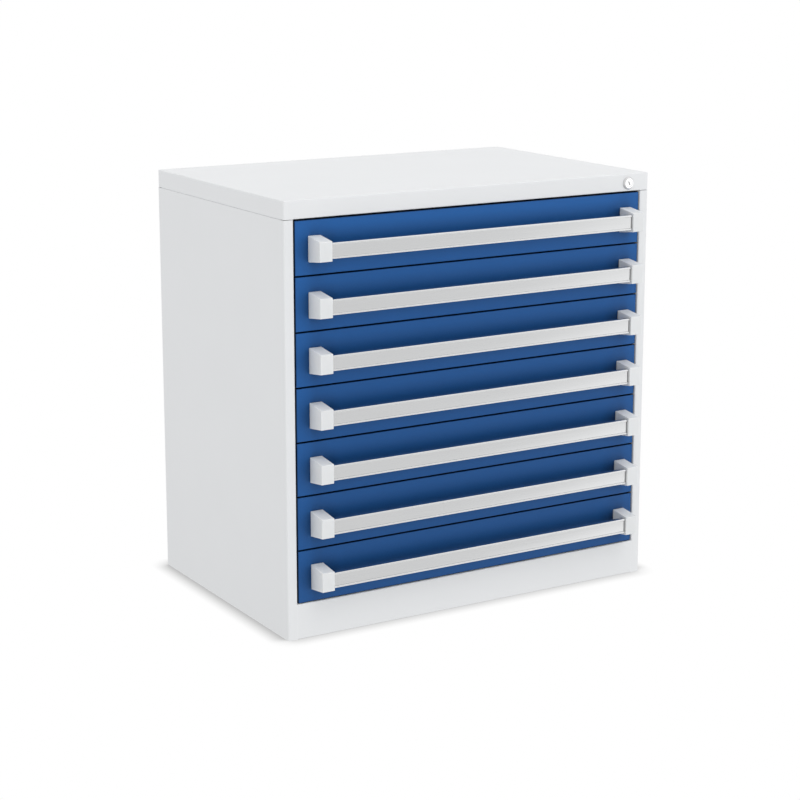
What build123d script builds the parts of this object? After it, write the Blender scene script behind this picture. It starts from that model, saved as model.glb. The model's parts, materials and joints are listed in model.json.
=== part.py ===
from build123d import *

import math
import os

# Steel cabinet with seven full-width drawers, telescopic runners and one central lock.
# Millimetres. +Z is up, +X is to the right and the drawers open towards -Y. The origin is on the
# floor, under the middle of the whole cabinet with its handles.

# Carcass
WIDTH = 795.0  # over the side panels
DEPTH = 525.0  # front of the posts to the back, without handles
SHEET = 1.2  # carcass and drawer fronts
PLINTH_HEIGHT = 66.0
RAIL_HEIGHT = 33.5  # skirt of the top cover, whose front is the rail over the drawers
POST_WIDTH = 19.0  # face of a front post
POST_RETURN = 25.0  # how far a front post turns into the opening
CORNER_INNER = 2.3  # inner bend of the front corners
BEND_INNER = 0.8  # inner bend of every other fold
BACK_FLANGE = 16.0  # side panel turned round the back
RAIL_RETURN = 22.0  # rail turned in under the cover
COVER_SEAM = 1.0  # open line between the cover's skirt and the side panels
TONGUE_LAP = 8.0  # strip inside a side panel that the cover slips over
TONGUE_INSET = 14.0  # strip's ends, short of the front and back
TOP_CLEARANCE = 1.5  # strip and back panel under the cover's top, clear of its bends
PLINTH_RETURN = 24.0  # plinth turned in on the floor
DECK_FLANGE = 25.0  # deck turned down at the back
DECK_SETBACK = 0.5  # deck's front corners, clear of the bend of the side panels
BACK_CLEARANCE = 0.2  # back panel beside the bends of the cover's corners
BEAD_DEPTH = 4.0  # pressed stiffening beads of the back panel
BEAD_WIDTH = 60.0
BEAD_LENGTH = 560.0
BEAD_SPACING = 380.0

# Drawers
DRAWER_COUNT = 7
DRAWER_PITCH = 100.5
FRONT_GAP = 2.5  # between two drawer fronts
TOP_GAP = 3.5  # rail to the first front
BOTTOM_GAP = 1.0  # last front to the plinth
LEFT_GAP = 4.0  # left post to the fronts
RIGHT_GAP = 1.5  # right post to the fronts
FRONT_RECESS = 2.5  # fronts set back behind the posts
PANEL_DEPTH = 19.0  # folded front, face to back lips
PANEL_BEND = 1.6  # outer bend round the face
LIP_WIDTH = 14.0  # lips folded in behind the front
BOX_SHEET = 1.0
BOX_LIFT = 6.0  # box bottom above the front's lower edge
BOX_HEIGHT = 80.0
BOX_LENGTH = 452.5
BOX_BEND = 1.2  # outer bend along the bottom
HEM_WIDTH = 3.5  # rim folded out along the box's sides

# Handles
HANDLE_REACH = 43.5  # drawer front to the face of the end caps
HANDLE_RISE = 46.4  # middle of the handle above the front's lower edge
HANDLE_INSET_LEFT = 26.3  # left cap from the front's left edge
HANDLE_INSET_RIGHT = 18.9  # right cap from the front's right edge
CAP_WIDTH = 25.0
CAP_ROOT_HEIGHT = 47.2  # at the drawer front
CAP_FACE_HEIGHT = 35.7  # at the face
CAP_ROUNDING = 1.6  # round the face
BAR_HEIGHT = 29.2
BAR_DEPTH = 14.0
BAR_RECESS = 3.0  # bar's face behind the caps' faces
BAR_SOCKET = 10.0  # how deep the bar enters a cap
BAR_FIT = 0.2  # clearance round the bar in its socket
BAR_WALL = 1.6
BAR_BEVEL = 0.7
LABEL_WINDOW = 21.2  # height between the bar's lips
LIP_THICKNESS = 1.5
LABEL_HOLD = 1.5  # how far each lip covers the strip
LABEL_THICKNESS = 1.1
LABEL_FIT = 0.15
LABEL_END_GAP = 3.0  # strip's end short of the right cap

# Runners
RUNNER_SPACE = 21.0  # drawer box to the uprights
RUNNER_HEIGHT = 35.0
RUNNER_RISE = 31.5  # middle of the runner above the front's lower edge
RUNNER_LENGTH = 450.0
RUNNER_SETBACK = 32.0  # runner's front end behind the posts' face
RAIL_SHEET = 1.4
RAIL_BEND = 1.1  # outer bend of a rail, as a bevel
RAIL_GAP = 0.5  # between the flanges of nested rails
RAIL_SIDE_GAP = 1.0  # between the webs of nested rails
RAIL_TIP_GAP = 3.0  # flange tips to the next rail's web
UPRIGHT_DEPTH = 25.3
UPRIGHT_FACE = 30.0
UPRIGHT_FOOT = 10.0
UPRIGHT_FRONT = 34.0  # front upright behind the posts' face
UPRIGHT_REAR_INSET = 66.0  # rear upright's front foot ahead of the runner's rear end
UPRIGHT_TOP_GAP = 0.5  # uprights' ends under the side panels' strips
SLOT_HEIGHT = 14.0
SLOT_WIDTH = 4.0
SLOT_RISE = 66.0  # hook slot above a front's lower edge

# Lock and central locking
LOCK_FROM_SIDE = 48.5
LOCK_FROM_TOP = 18.0
LOCK_RIM_RADIUS = 12.4
LOCK_FACE_RADIUS = 10.0
LOCK_PROUD = 4.0
LOCK_RIM_THICKNESS = 1.2
LOCK_BODY_RADIUS = 9.5
LOCK_BODY_LENGTH = 20.0
LOCK_HOLE_FIT = 0.15
PLUG_RADIUS = 7.0
PLUG_FIT = 0.1
PLUG_END = 0.6  # plug's back end behind the barrel
KEY_SLOT_HEIGHT = 7.5
KEY_SLOT_WIDTH = 1.8
KEY_SLOT_DEPTH = 9.0
KEY_SLOT_TILT = 25.0  # anticlockwise from upright with the drawers free, in degrees
CRANK_THROW = 8.5  # plug's axis to the crank pin
CRANK_REST = -45.0  # angle of the crank with the drawers free, in degrees
CRANK_THICKNESS = 2.5
CRANK_PIN_RADIUS = 2.0
CRANK_EYE_RADIUS = 4.0
CRANK_PIN_OVERRUN = 1.0  # pin beyond the rod
ROD_WIDTH = 12.0
ROD_THICKNESS = 2.0
ROD_SETBACK = 27.5  # rod's front face behind the posts' face
ROD_SIDE_GAP = 1.0  # rod beside the uprights' inner face
ROD_FOOT = 20.0  # rod's lower end below its last tab
ARM_MARGIN = 5.5  # rod's arm round its slot
ROD_SLOT_FIT = 0.5  # above and below the crank pin
TAB_HEIGHT = 10.0
TAB_REACH = 12.5
TAB_CLEARANCE = 2.0  # tab under the catch with the drawers free
CATCH_RISE = 66.0  # catch above the front's lower edge
CATCH_HEIGHT = 12.0
CATCH_SHEET = 1.5
CATCH_FOOT = 20.0
CATCH_PLAY = 1.5  # rod to catch when locked
CATCH_REACH = 14.0
GUIDE_RISE = 84.0  # rod guides above a front's lower edge
GUIDE_HEIGHT = 4.0
GUIDE_WALL = 2.2
GUIDE_FIT = 0.3
GUIDED_DRAWERS = (1, 4, 7)

# Worked out from the above
BEND = BEND_INNER + SHEET
CORNER = CORNER_INNER + SHEET
DRAWERS_HEIGHT = DRAWER_COUNT * DRAWER_PITCH - FRONT_GAP
OPENING_HEIGHT = BOTTOM_GAP + DRAWERS_HEIGHT + TOP_GAP
COVER_BOTTOM = PLINTH_HEIGHT + OPENING_HEIGHT
HEIGHT = COVER_BOTTOM + RAIL_HEIGHT
OPENING_WIDTH = WIDTH - 2 * POST_WIDTH
HANDLE_PROUD = HANDLE_REACH - FRONT_RECESS
FRONT_Y = (HANDLE_PROUD - DEPTH) / 2
BACK_Y = FRONT_Y + DEPTH
SIDE_TOP = COVER_BOTTOM - COVER_SEAM
UNDER_COVER = HEIGHT - SHEET - TOP_CLEARANCE
PANEL_Y = FRONT_Y + FRONT_RECESS
PANEL_BACK_Y = PANEL_Y + PANEL_DEPTH
PANEL_LEFT = LEFT_GAP - OPENING_WIDTH / 2
PANEL_RIGHT = OPENING_WIDTH / 2 - RIGHT_GAP
PANEL_WIDTH = PANEL_RIGHT - PANEL_LEFT
PANEL_HEIGHT = DRAWER_PITCH - FRONT_GAP
UPRIGHT_X = WIDTH / 2 - SHEET - UPRIGHT_DEPTH
BOX_SIDE_X = UPRIGHT_X - RUNNER_SPACE
RUNNER_Y = FRONT_Y + RUNNER_SETBACK
LOCK_X = WIDTH / 2 - LOCK_FROM_SIDE
LOCK_Z = HEIGHT - LOCK_FROM_TOP
ROD_Y = FRONT_Y + ROD_SETBACK
ROD_X = UPRIGHT_X - ROD_SIDE_GAP
PIN_X = LOCK_X + CRANK_THROW * math.cos(math.radians(CRANK_REST))
PIN_Z = LOCK_Z + CRANK_THROW * math.sin(math.radians(CRANK_REST))
CORNER_ALIGN = (Align.MIN, Align.MIN, Align.MIN)


def base_of(drawer):
    """Height of the lower edge of a drawer's front. Drawer 1 is the top one."""
    return PLINTH_HEIGHT + BOTTOM_GAP + (DRAWER_COUNT - drawer) * DRAWER_PITCH


def front_plane(y):
    """Plane seen from the front at depth y, with local x along +X and local y along +Z."""
    return Plane(origin=(0, y, 0), x_dir=(1, 0, 0), z_dir=(0, -1, 0))


def bent_sheet(plane, points, radii, thickness, side):
    """Section of a folded sheet. Its outer skin runs through the points, with a bend at each."""
    with BuildSketch(plane) as section:
        with BuildLine():
            FilletPolyline(*points, radius=radii)
            offset(amount=thickness, side=side)
        make_face()
    return section.sketch


def make_top_cover():
    with BuildPart() as cover:
        with BuildSketch(Plane.XY.offset(COVER_BOTTOM)):
            with Locations((0, FRONT_Y + DEPTH / 2)):
                RectangleRounded(WIDTH, DEPTH, CORNER)
        extrude(amount=RAIL_HEIGHT)
        fillet(cover.faces().sort_by(Axis.Z)[-1].edges(), radius=BEND)
        with BuildSketch(Plane.XY.offset(COVER_BOTTOM)):
            with Locations((0, FRONT_Y + DEPTH / 2)):
                RectangleRounded(WIDTH - 2 * SHEET, DEPTH - 2 * SHEET, CORNER_INNER)
        extrude(amount=RAIL_HEIGHT - SHEET, mode=Mode.SUBTRACT)
        # The rail's return, rounded where it shows over the drawers
        with BuildSketch(Plane.XY.offset(COVER_BOTTOM)):
            with Locations((0, FRONT_Y + SHEET)):
                Rectangle(WIDTH - 2 * CORNER, RAIL_RETURN - SHEET, align=(Align.CENTER, Align.MIN))
        extrude(amount=SHEET)
        with BuildSketch(Plane.YZ.offset(-OPENING_WIDTH / 2)):
            with Locations((FRONT_Y, COVER_BOTTOM)):
                Rectangle(BEND, BEND, align=(Align.MIN, Align.MIN))
            with Locations((FRONT_Y + BEND, COVER_BOTTOM + BEND)):
                Circle(BEND, mode=Mode.SUBTRACT)
        extrude(amount=OPENING_WIDTH, mode=Mode.SUBTRACT)
        with BuildSketch(front_plane(FRONT_Y)):
            with Locations((LOCK_X, LOCK_Z)):
                Circle(LOCK_BODY_RADIUS + LOCK_HOLE_FIT)
        extrude(amount=-2 * SHEET, mode=Mode.SUBTRACT)
    return cover.part


def make_side_left():
    outer_x = -WIDTH / 2
    post_x = outer_x + POST_WIDTH
    skin = [(outer_x + BACK_FLANGE, BACK_Y), (outer_x, BACK_Y), (outer_x, FRONT_Y), (post_x, FRONT_Y)]
    post = skin + [(post_x, FRONT_Y + POST_RETURN)]
    lower = bent_sheet(Plane.XY, skin, [BEND, CORNER], SHEET, Side.LEFT)
    upper = bent_sheet(Plane.XY.offset(PLINTH_HEIGHT), post, [BEND, CORNER, BEND], SHEET, Side.LEFT)
    tongue_bottom = SIDE_TOP - TONGUE_LAP
    with BuildPart() as side:
        extrude(lower, amount=PLINTH_HEIGHT)
        extrude(upper, amount=SIDE_TOP - PLINTH_HEIGHT)
        with Locations((outer_x + SHEET, FRONT_Y + TONGUE_INSET, tongue_bottom)):
            Box(SHEET, DEPTH - 2 * TONGUE_INSET, UNDER_COVER - tongue_bottom, align=CORNER_ALIGN)
    return side.part


def make_back_panel():
    outer_y = BACK_Y - SHEET
    half_width = WIDTH / 2 - CORNER - BACK_CLEARANCE
    middle_z = (PLINTH_HEIGHT + SIDE_TOP) / 2
    bead_places = [(-BEAD_SPACING / 2, middle_z), (BEAD_SPACING / 2, middle_z)]
    with BuildPart() as back:
        with Locations((-half_width, outer_y - SHEET, 0)):
            Box(2 * half_width, SHEET, UNDER_COVER, align=CORNER_ALIGN)
        with BuildSketch(front_plane(outer_y - SHEET)):
            with Locations(*bead_places):
                SlotOverall(BEAD_LENGTH, BEAD_WIDTH, rotation=90)
        extrude(amount=BEAD_DEPTH)
        with BuildSketch(front_plane(outer_y)):
            with Locations(*bead_places):
                SlotOverall(BEAD_LENGTH - 2 * SHEET, BEAD_WIDTH - 2 * SHEET, rotation=90)
        extrude(amount=BEAD_DEPTH, mode=Mode.SUBTRACT)
    return back.part


def make_base_pan():
    deck_back = BACK_Y - 2 * SHEET
    skin = [
        (FRONT_Y + PLINTH_RETURN, 0),
        (FRONT_Y, 0),
        (FRONT_Y, PLINTH_HEIGHT),
        (deck_back, PLINTH_HEIGHT),
        (deck_back, PLINTH_HEIGHT - DECK_FLANGE),
    ]
    section = bent_sheet(Plane.YZ.offset(-OPENING_WIDTH / 2), skin, BEND, SHEET, Side.RIGHT)
    wing_front = FRONT_Y + CORNER + DECK_SETBACK
    wing_back = deck_back - BEND
    wing_width = POST_WIDTH - SHEET
    with BuildPart() as pan:
        extrude(section, amount=OPENING_WIDTH)
        for wing_left in (SHEET - WIDTH / 2, OPENING_WIDTH / 2):
            with Locations((wing_left, wing_front, PLINTH_HEIGHT - SHEET)):
                Box(wing_width, wing_back - wing_front, SHEET, align=CORNER_ALIGN)
    return pan.part


def hat_section(front_foot_y):
    """Right-hand upright from above, a hat: crown towards the drawers, feet on the side panel."""
    foot_x = WIDTH / 2 - 2 * SHEET
    crown_front = front_foot_y + UPRIGHT_FOOT
    crown_back = crown_front + UPRIGHT_FACE
    skin = [
        (foot_x, front_foot_y),
        (foot_x, crown_front),
        (UPRIGHT_X, crown_front),
        (UPRIGHT_X, crown_back),
        (foot_x, crown_back),
        (foot_x, crown_back + UPRIGHT_FOOT),
    ]
    return bent_sheet(Plane.XY.offset(PLINTH_HEIGHT), skin, BEND, SHEET, Side.RIGHT)


def make_uprights():
    front_foot = FRONT_Y + UPRIGHT_FRONT
    rear_foot = RUNNER_Y + RUNNER_LENGTH - UPRIGHT_REAR_INSET
    length = SIDE_TOP - TONGUE_LAP - UPRIGHT_TOP_GAP - PLINTH_HEIGHT
    guide_front = ROD_Y - GUIDE_FIT - GUIDE_WALL
    guide_back = front_foot + UPRIGHT_FOOT + SHEET
    guide_width = ROD_WIDTH + 2 * GUIDE_FIT + 2 * GUIDE_WALL
    with BuildPart() as uprights:
        for foot in (front_foot, rear_foot):
            extrude(hat_section(foot), amount=length)
            crown_middle = foot + UPRIGHT_FOOT + UPRIGHT_FACE / 2
            with BuildSketch(Plane.YZ.offset(UPRIGHT_X)):
                for drawer in range(1, DRAWER_COUNT + 1):
                    with Locations((crown_middle, base_of(drawer) + SLOT_RISE)):
                        Rectangle(SLOT_WIDTH, SLOT_HEIGHT)
            extrude(amount=SHEET, mode=Mode.SUBTRACT)
        mirror(about=Plane.YZ)
        # Guides for the locking rod, on the right-hand front upright
        for drawer in GUIDED_DRAWERS:
            with BuildSketch(Plane.XY.offset(base_of(drawer) + GUIDE_RISE)):
                with Locations((ROD_X - GUIDE_FIT - GUIDE_WALL, guide_front)):
                    Rectangle(guide_width, guide_back - guide_front, align=(Align.MIN, Align.MIN))
                with Locations((ROD_X - GUIDE_FIT, ROD_Y - GUIDE_FIT)):
                    Rectangle(
                        ROD_WIDTH + 2 * GUIDE_FIT,
                        ROD_THICKNESS + 2 * GUIDE_FIT,
                        align=(Align.MIN, Align.MIN),
                        mode=Mode.SUBTRACT,
                    )
            extrude(amount=GUIDE_HEIGHT)
    return uprights.part


def rail_pair(web_x, tip_x, half_height, middle_z):
    """Right and left rail of one kind: a channel with its web at web_x and its flange tips at tip_x."""
    reach = tip_x - web_x
    web_inner = web_x + math.copysign(RAIL_SHEET, reach)
    with BuildPart() as rails:
        with BuildSketch(front_plane(RUNNER_Y)) as section:
            with Locations((web_x + reach / 2, middle_z)):
                Rectangle(abs(reach), 2 * half_height)
            web_corners = section.vertices().sort_by_distance((web_x, middle_z))[:2]
            chamfer(web_corners, length=RAIL_BEND)
            with Locations((web_inner + reach / 2, middle_z)):
                Rectangle(abs(reach), 2 * (half_height - RAIL_SHEET), mode=Mode.SUBTRACT)
        extrude(amount=-RUNNER_LENGTH)
        mirror(about=Plane.YZ)
    return rails.part


def make_cabinet_rails():
    tip_x = BOX_SIDE_X + RAIL_SHEET + 2 * RAIL_TIP_GAP
    with BuildPart() as rails:
        for drawer in range(1, DRAWER_COUNT + 1):
            middle_z = base_of(drawer) + RUNNER_RISE
            add(rail_pair(UPRIGHT_X, tip_x, RUNNER_HEIGHT / 2, middle_z))
    return rails.part


def make_middle_rails(drawer):
    web_x = UPRIGHT_X - RAIL_SHEET - RAIL_SIDE_GAP
    tip_x = BOX_SIDE_X + RAIL_SHEET + RAIL_TIP_GAP
    half_height = RUNNER_HEIGHT / 2 - RAIL_SHEET - RAIL_GAP
    return rail_pair(web_x, tip_x, half_height, base_of(drawer) + RUNNER_RISE)


def make_drawer_rails(drawer):
    tip_x = UPRIGHT_X - 2 * RAIL_SHEET - RAIL_SIDE_GAP - RAIL_TIP_GAP
    half_height = RUNNER_HEIGHT / 2 - 2 * (RAIL_SHEET + RAIL_GAP)
    return rail_pair(BOX_SIDE_X, tip_x, half_height, base_of(drawer) + RUNNER_RISE)


def make_front(drawer):
    base = base_of(drawer)
    middle = (PANEL_LEFT + PANEL_WIDTH / 2, base + PANEL_HEIGHT / 2)
    with BuildPart() as front:
        with BuildSketch(front_plane(PANEL_Y)):
            with Locations(middle):
                Rectangle(PANEL_WIDTH, PANEL_HEIGHT)
        extrude(amount=-PANEL_DEPTH)
        fillet(front.faces().sort_by(Axis.Y)[0].edges(), radius=PANEL_BEND)
        with BuildSketch(front_plane(PANEL_BACK_Y)):
            with Locations(middle):
                Rectangle(PANEL_WIDTH - 2 * SHEET, PANEL_HEIGHT - 2 * SHEET)
        extrude(amount=PANEL_DEPTH - SHEET, mode=Mode.SUBTRACT)
        with BuildSketch(front_plane(PANEL_BACK_Y)):
            with Locations(middle):
                Rectangle(PANEL_WIDTH - SHEET, PANEL_HEIGHT - SHEET)
                Rectangle(PANEL_WIDTH - 2 * LIP_WIDTH, PANEL_HEIGHT - 2 * LIP_WIDTH, mode=Mode.SUBTRACT)
        extrude(amount=SHEET)
    return front.part


def make_box(drawer):
    bottom = base_of(drawer) + BOX_LIFT
    top = bottom + BOX_HEIGHT
    catch_y = ROD_Y + ROD_THICKNESS + CATCH_PLAY
    with BuildPart() as box:
        with BuildSketch(Plane.XY.offset(bottom)):
            with Locations((0, PANEL_BACK_Y)):
                Rectangle(2 * BOX_SIDE_X, BOX_LENGTH, align=(Align.CENTER, Align.MIN))
        extrude(amount=BOX_HEIGHT)
        folds = box.faces().sort_by(Axis.Z)[0].edges().filter_by(Axis.Y)
        fillet(folds, radius=BOX_BEND)
        offset(amount=-BOX_SHEET, openings=box.faces().sort_by(Axis.Z)[-1], kind=Kind.INTERSECTION)
        for hem_left in (-BOX_SIDE_X - HEM_WIDTH, BOX_SIDE_X):
            with Locations((hem_left, PANEL_BACK_Y, top - BOX_SHEET)):
                Box(HEM_WIDTH, BOX_LENGTH, BOX_SHEET, align=CORNER_ALIGN)
        # Catch for the locking rod, an angle on the right-hand side
        with BuildSketch(Plane.XY.offset(base_of(drawer) + CATCH_RISE)):
            with Locations((BOX_SIDE_X, catch_y)):
                Rectangle(CATCH_REACH, CATCH_SHEET, align=(Align.MIN, Align.MIN))
                Rectangle(CATCH_SHEET, CATCH_FOOT, align=(Align.MIN, Align.MIN))
        extrude(amount=CATCH_HEIGHT)
    return box.part


def handle_ends():
    """Outer and inner end of the left cap, then inner and outer end of the right cap, along X."""
    left = PANEL_LEFT + HANDLE_INSET_LEFT
    right = PANEL_RIGHT - HANDLE_INSET_RIGHT
    return left, left + CAP_WIDTH, right - CAP_WIDTH, right


def make_handle_caps(drawer):
    middle_z = base_of(drawer) + HANDLE_RISE
    face_y = PANEL_Y - HANDLE_REACH
    bar_y = face_y + BAR_RECESS
    left, left_inner, right_inner, right = handle_ends()
    with BuildPart() as caps:
        for cap_left in (left, right_inner):
            with BuildSketch(Plane.YZ.offset(cap_left)):
                with BuildLine():
                    Polyline(
                        (PANEL_Y, middle_z - CAP_ROOT_HEIGHT / 2),
                        (face_y, middle_z - CAP_FACE_HEIGHT / 2),
                        (face_y, middle_z + CAP_FACE_HEIGHT / 2),
                        (PANEL_Y, middle_z + CAP_ROOT_HEIGHT / 2),
                        close=True,
                    )
                make_face()
            extrude(amount=CAP_WIDTH)
        fillet(caps.edges().group_by(Axis.Y)[0], radius=CAP_ROUNDING)
        for socket_left in (left_inner - BAR_SOCKET, right_inner):
            with Locations((socket_left, bar_y - BAR_FIT, middle_z)):
                Box(
                    BAR_SOCKET,
                    BAR_DEPTH + 2 * BAR_FIT,
                    BAR_HEIGHT + 2 * BAR_FIT,
                    align=(Align.MIN, Align.MIN, Align.CENTER),
                    mode=Mode.SUBTRACT,
                )
    return caps.part


def make_handle_bar(drawer):
    middle_z = base_of(drawer) + HANDLE_RISE
    bar_y = PANEL_Y - HANDLE_REACH + BAR_RECESS
    groove_y = bar_y + LIP_THICKNESS
    core_y = groove_y + LABEL_THICKNESS + 2 * LABEL_FIT + BAR_WALL
    core_depth = bar_y + BAR_DEPTH - BAR_WALL - core_y
    left, left_inner, right_inner, right = handle_ends()
    start = left_inner - BAR_SOCKET + BAR_FIT
    end = right_inner + BAR_SOCKET - BAR_FIT
    with BuildPart() as bar:
        with BuildSketch(Plane.YZ.offset(start)):
            with Locations((bar_y, middle_z)):
                Rectangle(BAR_DEPTH, BAR_HEIGHT, align=(Align.MIN, Align.CENTER))
        extrude(amount=end - start)
        chamfer(bar.edges().filter_by(Axis.X), length=BAR_BEVEL)
        with BuildSketch(Plane.YZ.offset(start)):
            with Locations((bar_y, middle_z)):
                Rectangle(LIP_THICKNESS, LABEL_WINDOW, align=(Align.MIN, Align.CENTER))
            with Locations((groove_y, middle_z)):
                Rectangle(
                    LABEL_THICKNESS + 2 * LABEL_FIT,
                    LABEL_WINDOW + 2 * LABEL_HOLD + 2 * LABEL_FIT,
                    align=(Align.MIN, Align.CENTER),
                )
            with Locations((core_y, middle_z)):
                Rectangle(core_depth, BAR_HEIGHT - 2 * BAR_WALL, align=(Align.MIN, Align.CENTER))
        extrude(amount=end - start, mode=Mode.SUBTRACT)
    return bar.part


def make_label_strip(drawer):
    middle_z = base_of(drawer) + HANDLE_RISE
    strip_y = PANEL_Y - HANDLE_REACH + BAR_RECESS + LIP_THICKNESS + LABEL_FIT
    left, left_inner, right_inner, right = handle_ends()
    start = left_inner + BAR_FIT
    end = right_inner - LABEL_END_GAP
    with BuildPart() as strip:
        with Locations((start, strip_y, middle_z)):
            Box(
                end - start,
                LABEL_THICKNESS,
                LABEL_WINDOW + 2 * LABEL_HOLD,
                align=(Align.MIN, Align.MIN, Align.CENTER),
            )
    return strip.part


def make_lock_barrel():
    bore = PLUG_RADIUS + PLUG_FIT
    with BuildPart() as barrel:
        with BuildSketch(Plane(origin=(LOCK_X, FRONT_Y, LOCK_Z))):
            with BuildLine():
                Polyline(
                    (LOCK_BODY_RADIUS, 0),
                    (LOCK_RIM_RADIUS, 0),
                    (LOCK_RIM_RADIUS, -LOCK_RIM_THICKNESS),
                    (LOCK_FACE_RADIUS, -LOCK_PROUD),
                    (bore, -LOCK_PROUD),
                    (bore, LOCK_BODY_LENGTH),
                    (LOCK_BODY_RADIUS, LOCK_BODY_LENGTH),
                    close=True,
                )
            make_face()
        revolve(axis=Axis((LOCK_X, FRONT_Y, LOCK_Z), (0, 1, 0)))
    return barrel.part


def make_lock_plug():
    length = LOCK_PROUD + LOCK_BODY_LENGTH + PLUG_END
    with BuildPart() as plug:
        with BuildSketch(front_plane(FRONT_Y - LOCK_PROUD)):
            with Locations((LOCK_X, LOCK_Z)):
                Circle(PLUG_RADIUS)
        extrude(amount=-length)
        with BuildSketch(front_plane(FRONT_Y - LOCK_PROUD)):
            with Locations((LOCK_X, LOCK_Z)):
                Rectangle(KEY_SLOT_WIDTH, KEY_SLOT_HEIGHT, rotation=KEY_SLOT_TILT)
        extrude(amount=-KEY_SLOT_DEPTH, mode=Mode.SUBTRACT)
    return plug.part


def make_lock_crank():
    crank_y = FRONT_Y + LOCK_BODY_LENGTH + PLUG_END
    pin_end = ROD_Y + ROD_THICKNESS + CRANK_PIN_OVERRUN
    with BuildPart() as crank:
        with BuildSketch(front_plane(crank_y)):
            with Locations((LOCK_X, LOCK_Z)):
                Circle(PLUG_RADIUS)
            with Locations((PIN_X, PIN_Z)):
                Circle(CRANK_EYE_RADIUS)
            make_hull()
        extrude(amount=-CRANK_THICKNESS)
        with BuildSketch(front_plane(crank_y)):
            with Locations((PIN_X, PIN_Z)):
                Circle(CRANK_PIN_RADIUS)
        extrude(amount=crank_y - pin_end)
    return crank.part


def make_locking_rod():
    rod_right = ROD_X + ROD_WIDTH
    rod_bottom = base_of(DRAWER_COUNT) + CATCH_RISE - TAB_CLEARANCE - TAB_HEIGHT - ROD_FOOT
    slot_height = 2 * (CRANK_PIN_RADIUS + ROD_SLOT_FIT)
    # The pin swings out to the full throw when it passes the height of the plug's axis
    slot_left = PIN_X - CRANK_PIN_RADIUS - ROD_SLOT_FIT
    slot_right = LOCK_X + CRANK_THROW + CRANK_PIN_RADIUS + ROD_SLOT_FIT
    arm_left = slot_left - ARM_MARGIN
    arm_top = PIN_Z + slot_height / 2 + ARM_MARGIN
    arm_height = slot_height + 2 * ARM_MARGIN
    with BuildPart() as rod:
        with BuildSketch(front_plane(ROD_Y)):
            with Locations((ROD_X, rod_bottom)):
                Rectangle(ROD_WIDTH, arm_top - rod_bottom, align=(Align.MIN, Align.MIN))
            with Locations((arm_left, arm_top - arm_height)):
                Rectangle(rod_right - arm_left, arm_height, align=(Align.MIN, Align.MIN))
            for drawer in range(1, DRAWER_COUNT + 1):
                tab_top = base_of(drawer) + CATCH_RISE - TAB_CLEARANCE
                with Locations((ROD_X, tab_top)):
                    Rectangle(TAB_REACH, TAB_HEIGHT, align=(Align.MAX, Align.MAX))
            with Locations(((slot_left + slot_right) / 2, PIN_Z)):
                Rectangle(slot_right - slot_left, slot_height, mode=Mode.SUBTRACT)
        extrude(amount=-ROD_THICKNESS)
    return rod.part


def save(part, name):
    part.label = name
    export_step(part, f"parts/{name}.step")


os.makedirs("parts", exist_ok=True)

side_left = make_side_left()
with BuildPart() as side_right:
    mirror(side_left, about=Plane.YZ)

save(make_top_cover(), "top_cover")
save(side_left, "side_left")
save(side_right.part, "side_right")
save(make_back_panel(), "back_panel")
save(make_base_pan(), "base_pan")
save(make_uprights(), "runner_uprights")
save(make_cabinet_rails(), "cabinet_rails")
save(make_lock_barrel(), "lock_barrel")
save(make_lock_plug(), "lock_plug")
save(make_lock_crank(), "lock_crank")
save(make_locking_rod(), "locking_rod")

for number in range(1, DRAWER_COUNT + 1):
    save(make_front(number), f"drawer{number}_front")
    save(make_box(number), f"drawer{number}_box")
    save(make_handle_bar(number), f"drawer{number}_handle_bar")
    save(make_label_strip(number), f"drawer{number}_label_strip")
    save(make_handle_caps(number), f"drawer{number}_handle_caps")
    save(make_drawer_rails(number), f"drawer{number}_rails")
    save(make_middle_rails(number), f"drawer{number}_middle_rails")
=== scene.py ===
"""Dresses a steel cabinet with seven drawers.

Rounds the sheets' edges, makes the handles, lock and fasteners, and sets finishes, floor, light and
camera. Laid out as an add-on and run as a script. All lengths are in metres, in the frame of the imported
model: +Z is up, +X is to the right and the drawers open towards -Y.
"""

import json
import math

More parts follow.
